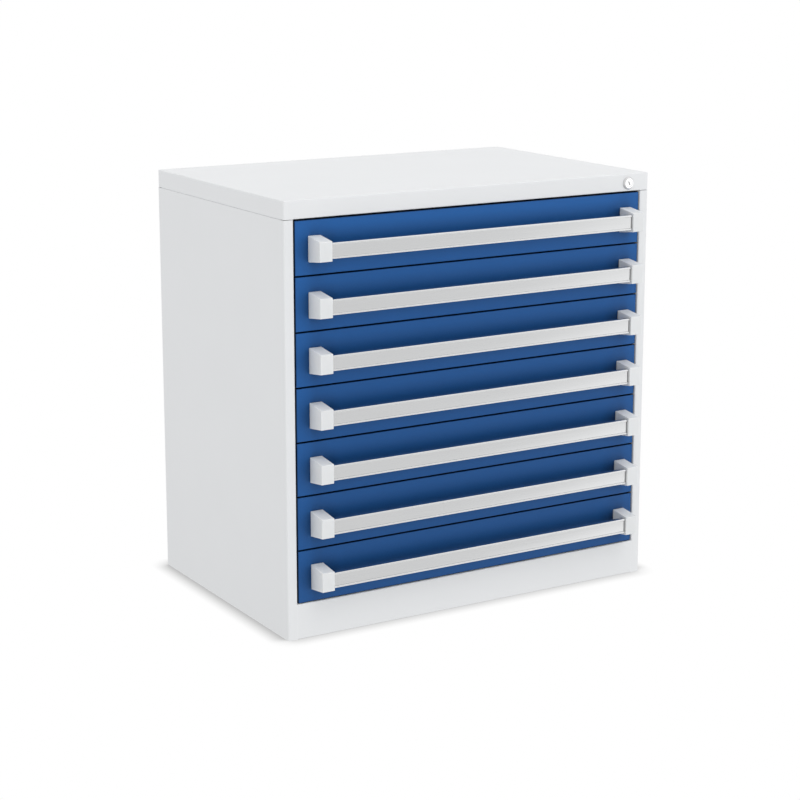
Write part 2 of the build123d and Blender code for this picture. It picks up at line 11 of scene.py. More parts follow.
import bmesh
import bpy
import numpy as np
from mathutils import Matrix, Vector

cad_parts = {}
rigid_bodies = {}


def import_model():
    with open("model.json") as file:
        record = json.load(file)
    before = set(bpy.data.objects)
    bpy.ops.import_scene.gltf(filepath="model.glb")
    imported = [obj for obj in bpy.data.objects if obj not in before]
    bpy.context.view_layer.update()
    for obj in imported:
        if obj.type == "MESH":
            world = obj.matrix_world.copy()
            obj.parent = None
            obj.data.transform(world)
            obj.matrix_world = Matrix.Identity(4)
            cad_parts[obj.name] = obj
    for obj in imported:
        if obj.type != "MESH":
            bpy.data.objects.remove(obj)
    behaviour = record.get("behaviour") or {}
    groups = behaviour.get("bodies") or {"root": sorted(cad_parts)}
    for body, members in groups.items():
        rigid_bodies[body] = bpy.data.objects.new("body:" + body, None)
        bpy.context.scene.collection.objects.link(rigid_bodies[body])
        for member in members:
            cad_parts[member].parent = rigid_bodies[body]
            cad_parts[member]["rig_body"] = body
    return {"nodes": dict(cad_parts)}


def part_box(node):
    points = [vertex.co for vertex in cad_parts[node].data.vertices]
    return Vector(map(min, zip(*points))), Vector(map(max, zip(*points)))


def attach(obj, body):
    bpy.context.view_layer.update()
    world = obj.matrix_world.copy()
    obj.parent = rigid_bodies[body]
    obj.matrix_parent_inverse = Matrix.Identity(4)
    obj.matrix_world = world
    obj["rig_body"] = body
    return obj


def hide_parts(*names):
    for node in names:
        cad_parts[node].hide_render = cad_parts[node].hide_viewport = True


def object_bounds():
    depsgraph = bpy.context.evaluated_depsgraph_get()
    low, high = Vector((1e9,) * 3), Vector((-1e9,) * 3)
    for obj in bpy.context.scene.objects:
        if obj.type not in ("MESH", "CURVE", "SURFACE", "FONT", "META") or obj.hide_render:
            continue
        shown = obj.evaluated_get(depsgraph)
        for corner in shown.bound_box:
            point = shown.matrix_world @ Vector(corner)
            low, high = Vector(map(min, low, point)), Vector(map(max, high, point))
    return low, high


bl_info = {
    "name": "Drawer cabinet dressing",
    "version": (1, 0, 0),
    "blender": (4, 5, 0),
    "location": "View3D > Sidebar > Cabinet",
    "description": "Handles, lock, fasteners, finishes and studio of a steel drawer cabinet",
    "category": "Object",
}

MM = 0.001
PHOTO_SIDE = 800  # the photograph is square, in pixels
SENSOR_WIDTH = 36.0  # of the camera, in millimetres
FLOOR_HALF_SIDE = 20.0
SHARP_ANGLE = math.radians(35)  # a steeper edge isn't shaded smooth
ROUNDED_ANGLE = math.radians(30)  # a steeper edge of a CAD node's copy is rounded
FLAT_ANGLE = math.radians(0.5)  # flatter neighbours become one face
MERGE_DECIMALS = 7  # corners that agree to this many decimals are one
LEAST_RADIUS = 0.05 * MM  # of a corner that is all but sharp

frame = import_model()
CAD_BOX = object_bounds()
DRAWERS = range(1, 1 + sum(name.endswith("_front") for name in frame["nodes"]))


# Sizes and colours


class CabinetFinish(bpy.types.PropertyGroup):
    carcass_color: bpy.props.FloatVectorProperty(
        name="Carcass", description="Powder coat of the carcass",
        default=(0.775, 0.787, 0.800), min=0, max=1, size=3, subtype="COLOR",
    )
    drawer_color: bpy.props.FloatVectorProperty(
        name="Drawer fronts", description="Powder coat of the fronts",
        default=(0.0115, 0.108, 0.358), min=0, max=1, size=3, subtype="COLOR",
    )
    # painted shade: the fronts' colour is made darker towards the floor
    painted_floor_shade: bpy.props.FloatProperty(
        name="Fall in tone",
        description="Share of the fronts' colour that is lost at the height of the floor",
        default=0.24, min=0, max=1,
    )
    # painted shade: a front's colour darkens near neighbouring parts, within the reach and by the power
    # below
    recess_shade_reach: bpy.props.FloatProperty(
        name="Recess reach", description="How far from a neighbouring part a front's colour deepens",
        default=38 * MM, min=0, unit="LENGTH", precision=5,
    )
    recess_shade_power: bpy.props.FloatProperty(
        name="Recess power", description="Power of the openness that a front's colour is multiplied by",
        default=1.3, min=0,
    )
    # painted highlight: the paler line along the coats' edges, set here and below, stands for light caught
    # by the edges
    edge_width: bpy.props.FloatProperty(
        name="Edge width", description="Width of the paler line where a coat thins over an edge",
        default=1.4 * MM, min=0, unit="LENGTH", precision=5,
    )
    edge_highlight_gain: bpy.props.FloatProperty(
        name="Edge gain", description="How many times paler that line is on grey coats",
        default=1.25, min=0,
    )
    edge_highlight_share: bpy.props.FloatProperty(
        name="Edge share", description="Share of that line's tone at a grey coat's edge",
        default=0.35, min=0, max=1,
    )
    # painted highlight along the fronts' edges
    front_edge_highlight_share: bpy.props.FloatProperty(
        name="Front edge share",
        description="Share at a front's edge of a tone half-way between its own and the carcass's",
        default=0.14, min=0, max=1,
    )
    box_color: bpy.props.FloatVectorProperty(
        name="Drawer boxes", description="Paint of the drawer boxes",
        default=(0.60, 0.61, 0.62), min=0, max=1, size=3, subtype="COLOR",
    )
    zinc_color: bpy.props.FloatVectorProperty(
        name="Zinc", description="Plating of runners, rod and fasteners",
        default=(0.50, 0.51, 0.53), min=0, max=1, size=3, subtype="COLOR",
    )
    # painted shade: the zinc's colour darkens near neighbouring parts
    zinc_shade_reach: bpy.props.FloatProperty(
        name="Zinc recess reach",
        description="How far from a neighbouring part the zinc's colour deepens",
        default=5 * MM, min=0, unit="LENGTH", precision=5,
    )
    zinc_shade_power: bpy.props.FloatProperty(
        name="Zinc recess power",
        description="Power of the openness that the zinc's colour is multiplied by",
        default=1.2, min=0,
    )
    aluminium_color: bpy.props.FloatVectorProperty(
        name="Handle bars", description="Anodised aluminium of the handle bars",
        default=(0.575, 0.58, 0.585), min=0, max=1, size=3, subtype="COLOR",
    )
    # painted highlight, not wear: the pale line along the handle bars' edges stands for light that they
    # catch
    bar_highlight_color: bpy.props.FloatVectorProperty(
        name="Bar edges", description="Worn edges of the handle bars",
        default=(0.95, 0.95, 0.95), min=0, max=1, size=3, subtype="COLOR",
    )
    bar_highlight_width: bpy.props.FloatProperty(
        name="Bar edge width", description="Width of those worn edges",
        default=0.7 * MM, min=0, unit="LENGTH", precision=5,
    )
    bar_highlight_share: bpy.props.FloatProperty(
        name="Bar edge share", description="Share of their tone at the edge itself",
        default=0.8, min=0, max=1,
    )
    plastic_color: bpy.props.FloatVectorProperty(
        name="Handle caps", description="Plastic of the handle caps",
        default=(0.74, 0.755, 0.765), min=0, max=1, size=3, subtype="COLOR",
    )
    label_color: bpy.props.FloatVectorProperty(
        name="Label strips", description="Blank strips in the handle bars",
        default=(0.575, 0.58, 0.585), min=0, max=1, size=3, subtype="COLOR",
    )
    chrome_color: bpy.props.FloatVectorProperty(
        name="Lock", description="Satin chrome of the lock's face",
        default=(0.86, 0.86, 0.865), min=0, max=1, size=3, subtype="COLOR",
    )
    # the flank is a darker, less metallic tone wherever the lock doesn't face the front
    flank_color: bpy.props.FloatVectorProperty(
        name="Lock flank", description="Blasted flank of the lock",
        default=(0.60, 0.60, 0.605), min=0, max=1, size=3, subtype="COLOR",
    )
    edge_radius: bpy.props.FloatProperty(
        name="Sheet edge", description="Rounding of folded and cut edges",
        default=0.3 * MM, min=0, unit="LENGTH", precision=5,
    )


class CabinetHandles(bpy.types.PropertyGroup):
    cap_rounding: bpy.props.FloatProperty(
        name="Cap rounding", description="Rounding of the caps' edges",
        default=1.0 * MM, min=0, unit="LENGTH", precision=5,
    )
    cap_width: bpy.props.FloatProperty(
        name="Cap width", description="Width of an end cap",
        default=25 * MM, min=0, unit="LENGTH", precision=5,
    )
    cap_face_height: bpy.props.FloatProperty(
        name="Cap face height", description="Height of an end cap's face",
        default=35.7 * MM, min=0, unit="LENGTH", precision=5,
    )
    bar_rounding: bpy.props.FloatProperty(
        name="Bar rounding", description="Rounding of the bar's outer edges",
        default=2.4 * MM, min=0, unit="LENGTH", precision=5,
    )
    lip_rounding: bpy.props.FloatProperty(
        name="Lip rounding", description="Rounding of the lips over the strip",
        default=1.3 * MM, min=0, unit="LENGTH", precision=5,
    )
    lip_thickness: bpy.props.FloatProperty(
        name="Lip thickness", description="Thickness of the lips",
        default=1.5 * MM, min=0, unit="LENGTH", precision=5,
    )
    lip_cover: bpy.props.FloatProperty(
        name="Lip cover", description="How far each lip covers the strip",
        default=1.5 * MM, min=0, unit="LENGTH", precision=5,
    )
    groove_depth: bpy.props.FloatProperty(
        name="Groove depth", description="Depth of the groove behind the lips",
        default=8.0 * MM, min=0, unit="LENGTH", precision=5,
    )
    groove_rounding: bpy.props.FloatProperty(
        name="Groove rounding", description="Rounding of the groove's corners",
        default=0.15 * MM, min=0, unit="LENGTH", precision=5,
    )
    strip_rounding: bpy.props.FloatProperty(
        name="Strip rounding", description="Rounding of the strip's edges",
        default=0.2 * MM, min=0, unit="LENGTH", precision=5,
    )


class CabinetLock(bpy.types.PropertyGroup):
    rim_thickness: bpy.props.FloatProperty(
        name="Rim thickness", description="Straight part of the rim on the rail",
        default=0.8 * MM, min=0, unit="LENGTH", precision=5,
    )
    rim_rounding: bpy.props.FloatProperty(
        name="Rim rounding", description="Rounding of the rim's edge",
        default=0.4 * MM, min=0, unit="LENGTH", precision=5,
    )
    face_ratio: bpy.props.FloatProperty(
        name="Face", description="Radius of the flat face as a share of the rim's",
        default=0.79, min=0.6, max=0.95,
    )
    face_rounding: bpy.props.FloatProperty(
        name="Face rounding", description="Rounding between flank and face",
        default=0.5 * MM, min=0, unit="LENGTH", precision=5,
    )
    body_radius: bpy.props.FloatProperty(
        name="Body radius", description="Radius of the barrel behind the rail",
        default=9.5 * MM, min=0, unit="LENGTH", precision=5,
    )
    body_rounding: bpy.props.FloatProperty(
        name="Body rounding", description="Rounding of the barrel's back edge",
        default=0.3 * MM, min=0, unit="LENGTH", precision=5,
    )
    bore_rounding: bpy.props.FloatProperty(
        name="Bore rounding", description="Rounding round the plug at the face",
        default=0.15 * MM, min=0, unit="LENGTH", precision=5,
    )
    plug_clearance: bpy.props.FloatProperty(
        name="Plug clearance", description="Gap between plug and barrel",
        default=0.1 * MM, min=0, unit="LENGTH", precision=5,
    )
    plug_rounding: bpy.props.FloatProperty(
        name="Plug rounding", description="Rounding of the plug and key slot",
        default=0.15 * MM, min=0, unit="LENGTH", precision=5,
    )


class CabinetFasteners(bpy.types.PropertyGroup):
    screw_radius: bpy.props.FloatProperty(
        name="Screw radius", description="Radius of the back panel's screw heads",
        default=4.2 * MM, min=0, unit="LENGTH", precision=5,
    )
    screw_height: bpy.props.FloatProperty(
        name="Screw height", description="Height of the screw heads",
        default=2.0 * MM, min=0, unit="LENGTH", precision=5,
    )
    screw_inset: bpy.props.FloatVectorProperty(
        name="Screw inset",
        description="Outer screws from the back panel's side edges, and from its upper and lower ones",
        default=(22 * MM, 30 * MM), size=2, unit="LENGTH",
    )
    screw_count: bpy.props.IntProperty(
        name="Screws", description="Screws along each edge of the back panel",
        default=5, min=2,
    )
    rivet_radius: bpy.props.FloatProperty(
        name="Rivet radius", description="Radius of the drawers' rivet heads",
        default=3.2 * MM, min=0, unit="LENGTH", precision=5,
    )
    rivet_height: bpy.props.FloatProperty(
        name="Rivet height", description="Height of the rivet heads",
        default=1.1 * MM, min=0, unit="LENGTH", precision=5,
    )
    rivet_inset: bpy.props.FloatProperty(
        name="Rivet inset", description="Outer rivets from the rails' ends",
        default=28 * MM, min=0, unit="LENGTH", precision=5,
    )
    rivet_count: bpy.props.IntProperty(
        name="Rivets", description="Rivets along each drawer rail",
        default=4, min=2,
    )
    hem_width: bpy.props.FloatProperty(
        name="Hem width", description="Rim folded out along the boxes' sides",
        default=3.5 * MM, min=0, unit="LENGTH", precision=5,
    )
    box_sheet: bpy.props.FloatProperty(
        name="Box sheet", description="Sheet thickness of the drawer boxes",
        default=1.0 * MM, min=0, unit="LENGTH", precision=5,
    )
    rail_sheet: bpy.props.FloatProperty(
        name="Rail sheet", description="Sheet thickness of the drawer rails",
        default=1.4 * MM, min=0, unit="LENGTH", precision=5,
    )


class CabinetStage(bpy.types.PropertyGroup):
    sky_strength: bpy.props.FloatProperty(
        name="Sky", description="Strength of the even studio light",
        default=0.865, min=0,
    )
    sky_slope: bpy.props.FloatVectorProperty(
        name="Sky slope",
        description="Share by which the light is stronger from the right, the back and above",
        default=(-0.015, -0.105, -0.12), size=3,
    )
    softbox_strength: bpy.props.FloatProperty(
        name="Softbox",
        description="Share that the softbox above the front adds to the sky at its middle",
        default=2.6, min=0,
    )
    softbox_toward: bpy.props.FloatVectorProperty(
        name="Softbox direction", description="Direction from the cabinet to the softbox",
        default=(0.05, -0.45, 0.89), size=3, subtype="DIRECTION",
    )
    softbox_focus: bpy.props.FloatProperty(
        name="Softbox focus",
        description="Power of the cosine with which the softbox fades from its middle",
        default=16.0, min=1,
    )
    panel_strength: bpy.props.FloatProperty(
        name="Light panel",
        description="Share that the tall panel adds to what gloss and metal reflect",
        default=0.42, min=0,
    )
    panel_edges: bpy.props.FloatVectorProperty(
        name="Panel edges",
        description="Angles from the front to the right where the panel fades in and out",
        default=[math.radians(a) for a in (35.9, 36.9, 100.0, 125.0)], size=4, unit="ROTATION",
    )
    overhead_strength: bpy.props.FloatProperty(
        name="Overhead", description="Share that gloss and metal reflect more from straight above",
        default=0.15, min=0,
    )
    contact_reach: bpy.props.FloatProperty(
        name="Contact shadow", description="Reach of the soft shadow on the floor",
        default=37 * MM, min=0, unit="LENGTH", precision=5,
    )
    front_share: bpy.props.FloatProperty(
        name="Shadow in front",
        description="Share of the contact shadow that is left in front of the cabinet",
        default=0.62, min=0, max=1,
    )
    floor_shade: bpy.props.FloatProperty(
        name="Floor shade",
        description="Share of the light from below that is lost right beside the cabinet",
        default=0.10, min=0, max=1,
    )
    floor_shade_reach: bpy.props.FloatProperty(
        name="Shade reach",
        description="Distance from the cabinet over which that share falls to nothing",
        default=0.9, min=10 * MM, unit="LENGTH", precision=5,
    )
    focal_px: bpy.props.FloatProperty(
        name="Focal length", description="In pixels of the photograph",
        default=2029.2, min=1,
    )
    axis_row: bpy.props.FloatProperty(
        name="Axis row", description="Row of the photograph that the optical axis meets, in pixels",
        default=352.0,
    )
    camera_place: bpy.props.FloatVectorProperty(
        name="Camera", description="Place of the camera",
        default=(-2.0209, -3.3423, 1.2875), size=3, unit="LENGTH",
    )
    camera_yaw: bpy.props.FloatProperty(
        name="Yaw", description="Camera turned from +Y towards +X",
        default=0.5402, unit="ROTATION",
    )
    camera_pitch: bpy.props.FloatProperty(
        name="Pitch", description="Camera tilted down",
        default=0.2114, unit="ROTATION",
    )


# Nodes


class Shading:
    """Node tree of a material or world, whose inputs take values or other nodes' outputs."""

    def __init__(self, owner, emptied=False):
        owner.use_nodes = True
        self.tree = owner.node_tree
        if emptied:
            self.tree.nodes.clear()

    def fill(self, node, inputs):
        """Links each input that is given another node's output, and sets the others."""
        for key, value in inputs.items():
            if isinstance(value, bpy.types.NodeSocket):
                self.tree.links.new(value, node.inputs[key])
            else:
                node.inputs[key].default_value = value

    def add(self, kind, inputs=None, **settings):
        """New node of a kind. Its settings come first, because they can change its inputs."""
        node = self.tree.nodes.new("ShaderNode" + kind)
        for key, value in settings.items():
            setattr(node, key, value)
        self.fill(node, inputs or {})
        return node

    def surface(self, inputs):
        """Fills inputs of a new material's Principled shader."""
        self.fill(self.tree.nodes["Principled BSDF"], inputs)

    def calc(self, operation, *values):
        return self.add("Math", dict(enumerate(values)), operation=operation).outputs[0]

    def dot(self, first, second):
        inputs = {0: first, 1: second}
        return self.add("VectorMath", inputs, operation="DOT_PRODUCT").outputs["Value"]

    def scaled(self, color, factor):
        inputs = {0: color, "Scale": factor}
        return self.add("VectorMath", inputs, operation="SCALE").outputs["Vector"]

    def mixed(self, factor, first, second):
        """The first colour where the factor is 0 and the second where it is 1."""
        inputs = {"Factor": factor, "A": first, "B": second}
        return self.add("Mix", inputs, data_type="RGBA").outputs["Result"]

    def axes(self, vector):
        return self.add("SeparateXYZ", {"Vector": vector}).outputs

    def ranged(self, value, low, high):
        """Maps a value from 0..1 to low..high."""
        inputs = {"Value": value, "To Min": low, "To Max": high}
        return self.add("MapRange", inputs).outputs["Result"]

    def faded(self, value, start, end):
        """Smoothly 0 at the start to 1 at the end, which may be the lower of the two."""
        inputs = {
            "Value": value,
            "From Min": min(start, end),
            "From Max": max(start, end),
            "To Min": float(start > end),
            "To Max": float(start < end),
        }
        return self.add("MapRange", inputs, interpolation_type="SMOOTHSTEP").outputs["Result"]

    def place(self):
        """Place on the surface, in the object's own frame."""
        return self.add("TexCoord").outputs["Object"]

    def normal(self):
        return self.add("NewGeometry").outputs["Normal"]

    def openness(self, reach, samples):
        """Share of the space within reach that is free."""
        return self.add("AmbientOcclusion", {"Distance": reach}, samples=samples).outputs["AO"]

    def noise(self, scale, detail, stretch=None):
        """Noise from 0 to 1, with its features stretched where asked."""
        place = self.place()
        if stretch:
            place = self.add("Mapping", {"Vector": place, "Scale": stretch}).outputs["Vector"]
        inputs = {"Vector": place, "Scale": scale, "Detail": detail}
        return self.add("TexNoise", inputs).outputs["Fac"]

    def bumped(self, height, distance, strength):
        """Normal of the surface with a height on it."""
        inputs = {"Height": height, "Distance": distance, "Strength": strength}
        return self.add("Bump", inputs).outputs["Normal"]

    def varied(self, value, color, spread):
        """The colour made darker and lighter by the spread as the value goes from 0 to 1."""
        darker = (*[c * (1 - spread) for c in color], 1)
        lighter = (*[min(1, c * (1 + spread)) for c in color], 1)
        return self.mixed(value, darker, lighter)

    def painted_shade_by_height(self, color, fall):
        """Painted shade: the colour made darker by the fall at the floor, and evenly less up to the top."""
        height = self.axes(self.place())["Z"]
        inputs = {"Value": height, "From Max": CAD_BOX[1][2], "To Min": 1 - fall}
        return self.scaled(color, self.add("MapRange", inputs).outputs["Result"])

    def painted_recess_shade(self, color, reach, power):
        """Painted shade: the colour times the openness to the given power, darker in recesses and between
        parts.
        """
        return self.scaled(color, self.calc("POWER", self.openness(reach, samples=6), power))

    def edge_mask(self, width):
        """1 at an edge of the surface, falling to 0 at the given distance from it.

        The Bevel node's normal turns towards the next face near an edge. The mask is how far its cosine
        with the surface's own normal falls below 1, times the factor that makes it 1 at a square edge.
        """
        turned = self.add("Bevel", {"Radius": width}, samples=4).outputs["Normal"]
        lost = self.calc("SUBTRACT", 1.0, self.dot(turned, self.normal()))
        square_edge = 1 - math.cos(math.pi / 4)
        return self.add("MapRange", {"Value": lost, "From Max": square_edge}).outputs["Result"]

    def painted_edge_highlight(self, color, highlight_tone, width, share):
        """Painted highlight: the colour mixed towards a paler one along the edges, by the share at the edge
        itself.
        """
        factor = self.calc("MULTIPLY", self.edge_mask(width), share)
        return self.mixed(factor, color, (*highlight_tone, 1))


# Finishes


def powder_coat(material, finish, color, highlight_tone, highlight_share_at_edge, roughness, peel, add_painted_shade=None):
    """Powder coat: orange peel of about 1.5 mm, slight clouding of colour, and a painted highlight along
    the edges.

    Where given, the last argument paints shade into the colour before the edge highlight is painted on.
    """
    shading = Shading(material)
    clouds = shading.noise(scale=9, detail=2)
    orange_peel = shading.noise(scale=650, detail=2)
    coat = shading.varied(clouds, color, spread=0.012)
    if add_painted_shade:
        coat = add_painted_shade(shading, coat)
    spread = 0.04
    shading.surface({
        "Base Color": shading.painted_edge_highlight(coat, highlight_tone, finish.edge_width, highlight_share_at_edge),
        "Roughness": shading.ranged(orange_peel, roughness - spread, roughness + spread),
        "Specular IOR Level": 0.22,
        "Normal": shading.bumped(orange_peel, distance=0.12 * MM, strength=peel),
    })


def grey_coat(material, finish, color, roughness, peel):
    """Powder coat of the carcass and the drawer boxes."""
    # tone of the painted highlight along the edges
    highlight_tone = [min(1.0, c * finish.edge_highlight_gain) for c in color]
    powder_coat(material, finish, color, highlight_tone, finish.edge_highlight_share, roughness, peel)


def front_coat(material, finish):
    """The fronts' powder coat, with painted shade that makes it a little deeper towards the floor and in
    recesses.
    """

    def add_painted_shade(shading, coat):
        coat = shading.painted_shade_by_height(coat, finish.painted_floor_shade)
        return shading.painted_recess_shade(coat, finish.recess_shade_reach, finish.recess_shade_power)

    color = finish.drawer_color
    # tone of the painted highlight along the fronts' edges
    highlight_tone = [(c + p) / 2 for c, p in zip(color, finish.carcass_color)]
    powder_coat(
        material, finish, color, highlight_tone, finish.front_edge_highlight_share, roughness=0.40, peel=0.35, add_painted_shade=add_painted_shade
    )


def zinc_plating(material, finish):
    """Bright zinc: metal with a fine spangle and long rolling marks, and painted shade in its recesses."""
    shading = Shading(material)
    spangle = shading.noise(scale=140, detail=4)
    rolled = shading.noise(scale=60, detail=3, stretch=(1.0, 0.04, 12.0))
    metal = shading.varied(spangle, finish.zinc_color, spread=0.10)
    shading.surface({
        "Base Color": shading.painted_recess_shade(metal, finish.zinc_shade_reach, finish.zinc_shade_power),
        "Roughness": shading.ranged(rolled, 0.26, 0.50),
        "Metallic": 1.0,
        "Normal": shading.bumped(rolled, distance=0.05 * MM, strength=0.3),
    })


def anodised_aluminium(material, finish):
    """Satin anodised extrusion with fine die lines along its length, and a painted highlight along its
    edges.
    """
    shading = Shading(material)
    die_lines = shading.noise(scale=900, detail=3, stretch=(0.004, 1.0, 1.0))
    metal = shading.varied(die_lines, finish.aluminium_color, spread=0.03)
    shading.surface({
        "Base Color": shading.painted_edge_highlight(
            metal, finish.bar_highlight_color, finish.bar_highlight_width, finish.bar_highlight_share
        ),
        "Roughness": shading.ranged(die_lines, 0.15, 0.20),
        "Metallic": 1.0,
        "Normal": shading.bumped(die_lines, distance=0.03 * MM, strength=0.25),
    })


def moulded_plastic(material, finish):
    """Matt moulded plastic with a fine spark-eroded grain."""
    shading = Shading(material)
    grain = shading.noise(scale=1400, detail=2)
    clouds = shading.noise(scale=30, detail=2)
    shading.surface({
        "Base Color": shading.varied(clouds, finish.plastic_color, spread=0.015),
        "Roughness": shading.ranged(grain, 0.42, 0.55),
        "Specular IOR Level": 0.35,
        "Subsurface Weight": 0.4,
        "Subsurface Radius": (1.0, 0.95, 0.9),
        "Subsurface Scale": 6 * MM,
        "Normal": shading.bumped(grain, distance=0.06 * MM, strength=0.35),
    })


def clear_strip(material, finish):
    """Clear plastic strip over the satin metal of the bar, with faint lengthwise streaks."""
    shading = Shading(material)
    streaks = shading.noise(scale=500, detail=3, stretch=(0.01, 1.0, 1.0))
    shading.surface({
        "Base Color": shading.varied(streaks, finish.label_color, spread=0.02),
        "Roughness": shading.ranged(streaks, 0.13, 0.17),
        "Metallic": 1.0,
        "Coat Weight": 0.3,
        "Coat Roughness": 0.25,
    })


def satin_chrome(material, finish):
    """Satin chrome with fine turning marks where it faces the front, darker and less metallic elsewhere."""
    shading = Shading(material)
    marks = shading.noise(scale=1800, detail=2)
    facing = shading.faded(shading.axes(shading.normal())["Y"], start=-0.80, end=-0.97)
    flank = shading.varied(marks, finish.flank_color, spread=0.03)
    face = shading.varied(marks, finish.chrome_color, spread=0.03)
    shading.surface({
        "Base Color": shading.mixed(facing, flank, face),
        "Roughness": shading.ranged(marks, 0.18, 0.28),
        "Metallic": shading.ranged(facing, 0.35, 1.0),
    })


def carcass_paint(material, finish):
    grey_coat(material, finish, finish.carcass_color, roughness=0.42, peel=0.35)


def box_paint(material, finish):
    grey_coat(material, finish, finish.box_color, roughness=0.45, peel=0.3)


FINISHES = {  # by the record's slot names
    "carcass_paint": carcass_paint,
    "drawer_paint": front_coat,
    "box_paint": box_paint,
    "zinc_steel": zinc_plating,
    "handle_aluminium": anodised_aluminium,
    "cap_plastic": moulded_plastic,
    "label_plastic": clear_strip,
    "lock_chrome": satin_chrome,
}


def finish_of(slot):
    """Material of a slot, made when it is first asked for."""
    name = slot + "_finish"
    material = bpy.data.materials.get(name)
    if material is None:
        material = bpy.data.materials.new(name)
        FINISHES[slot](material, bpy.context.scene.cabinet_finish)
    return material


# Pieces


def new_piece(name, shape, body, slot, replaced=()):
    """Object at the origin from vertices and faces, with its body, slot and finish."""
    vertices, faces = shape
    mesh = bpy.data.meshes.new(name)
    mesh.from_pydata(np.asarray(vertices).tolist(), [], [list(face) for face in faces])
    mesh.validate()
    mesh.shade_smooth()
    mesh.set_sharp_from_angle(angle=SHARP_ANGLE)
    mesh.materials.append(finish_of(slot))
    piece = bpy.data.objects.new(name, mesh)
    bpy.context.scene.collection.objects.link(piece)
    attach(piece, body)
    if replaced:
        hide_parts(*replaced)
    return piece


def merged_copy(node_name):
    """Vertices and faces of a CAD node, with loose triangles joined and flat ones made one face."""
    source = frame["nodes"][node_name].data
    corners = np.empty(len(source.vertices) * 3)
    source.vertices.foreach_get("co", corners)
    triangles = np.empty(len(source.loops), dtype=int)
    source.loops.foreach_get("vertex_index", triangles)
    grid = np.round(corners.reshape(-1, 3), MERGE_DECIMALS)
    points, place = np.unique(grid, axis=0, return_inverse=True)
    triangles = place.ravel()[triangles].reshape(-1, 3)
    a, b, c = triangles.T
    triangles = triangles[(a != b) & (b != c) & (c != a)]
    mesh = bpy.data.meshes.new(node_name + "_merged")
    mesh.from_pydata(points.tolist(), [], triangles.tolist())
    work = bmesh.new()
    work.from_mesh(mesh)
    bmesh.ops.dissolve_limit(work, angle_limit=FLAT_ANGLE, verts=work.verts, edges=work.edges)
    work.to_mesh(mesh)
    work.free()
    vertices = np.empty(len(mesh.vertices) * 3)
    mesh.vertices.foreach_get("co", vertices)
    faces = [list(polygon.vertices) for polygon in mesh.polygons]
    bpy.data.meshes.remove(mesh)
    return vertices.reshape(-1, 3), faces


def rounded_copy(node_name, slot, radius):
    """A CAD node's copy with its sharp edges rounded, standing for that node."""
    body = frame["nodes"][node_name]["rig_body"]
    piece = new_piece(node_name + "_rounded", merged_copy(node_name), body, slot, [node_name])
    bevel = piece.modifiers.new("Rounded edges", "BEVEL")
    bevel.limit_method = "ANGLE"
    bevel.angle_limit = ROUNDED_ANGLE
    bevel.width = radius
    bevel.segments = 2
    bevel.harden_normals = True


def finish_node(node_name, slot):
    """Gives a CAD node that stays its finish."""
    for place in frame["nodes"][node_name].material_slots:
        place.material = finish_of(slot)


def rounded_outline(corners, radii, steps=5):
    """Closed outline with an arc at each corner.

    At a corner P with unit directions u and v to its neighbours, the arc's ends lie r / tan(half the
    corner's angle) along u and v. The points between them run evenly in angle round the arc's centre.
    """
    corners = np.asarray(corners, dtype=float)
    before = np.roll(corners, 1, axis=0) - corners
    after = np.roll(corners, -1, axis=0) - corners
    u = before / np.linalg.norm(before, axis=1)[:, None]
    v = after / np.linalg.norm(after, axis=1)[:, None]
    half = np.arccos(np.clip((u * v).sum(1), -1, 1)) / 2
    radii = np.broadcast_to(np.asarray(radii, dtype=float), half.shape)
    middle = (u + v) / np.linalg.norm(u + v, axis=1)[:, None]
    centre = corners + middle * (radii / np.sin(half))[:, None]
    start = (corners + u * (radii / np.tan(half))[:, None] - centre)[:, None]
    end = (corners + v * (radii / np.tan(half))[:, None] - centre)[:, None]
    turn = (math.pi - 2 * half)[:, None, None]
    share = np.linspace(0, 1, steps + 1)[None, :, None]
    arc = (np.sin((1 - share) * turn) * start + np.sin(share * turn) * end) / np.sin(turn)
    return (centre[:, None] + arc).reshape(-1, 2)


def swept(outline, xs):
    """Rings of an outline of (y, z) points at each x."""
    return np.array([np.column_stack([np.full(len(outline), x), outline]) for x in xs])


def revolved(profile, centre, steps=72):
    """Rings of a surface turned round an axis along Y.

    A profile point (r, y) gives the circle centre + (r cos t, y, r sin t) for t from 0 to a full turn.
    """
    t = np.linspace(0, 2 * math.pi, steps, endpoint=False)
    r, y = np.asarray(profile, dtype=float).T[:, :, None]
    rings = np.stack([r * np.cos(t), np.broadcast_to(y, (len(y), steps)), r * np.sin(t)], axis=-1)
    return rings + np.asarray(centre)


def tube(rings, looped=False):
    """Vertices and faces through equal rings, with a face across each end, or looped back to the first.

    Ring i, point j sits at number i * n + j, and each quad joins (i, j), (i, j + 1), (i + 1, j + 1)
    and (i + 1, j).
    """
    count, n = rings.shape[:2]
    spans = count if looped else count - 1
    i, j = np.meshgrid(np.arange(spans), np.arange(n), indexing="ij")
    far, side = (i + 1) % count * n, (j + 1) % n
    quads = np.stack([i * n + j, i * n + side, far + side, far + j], axis=-1)
    faces = quads.reshape(-1, 4).tolist()
    if not looped:
        last = (count - 1) * n
        faces += [list(range(n))[::-1], list(range(last, last + n))]
    return rings.reshape(-1, 3), faces


def outward(shape):
    """The shape with its faces turned outwards, which is so when the enclosed volume is positive."""
    vertices, faces = shape
    volume = 0.0
    for face in faces:
        b, c = vertices[face[1:-1]], vertices[face[2:]]
        volume += (vertices[face[0]] * np.cross(b, c)).sum()
    return vertices, [face[::-1] for face in faces] if volume < 0 else faces


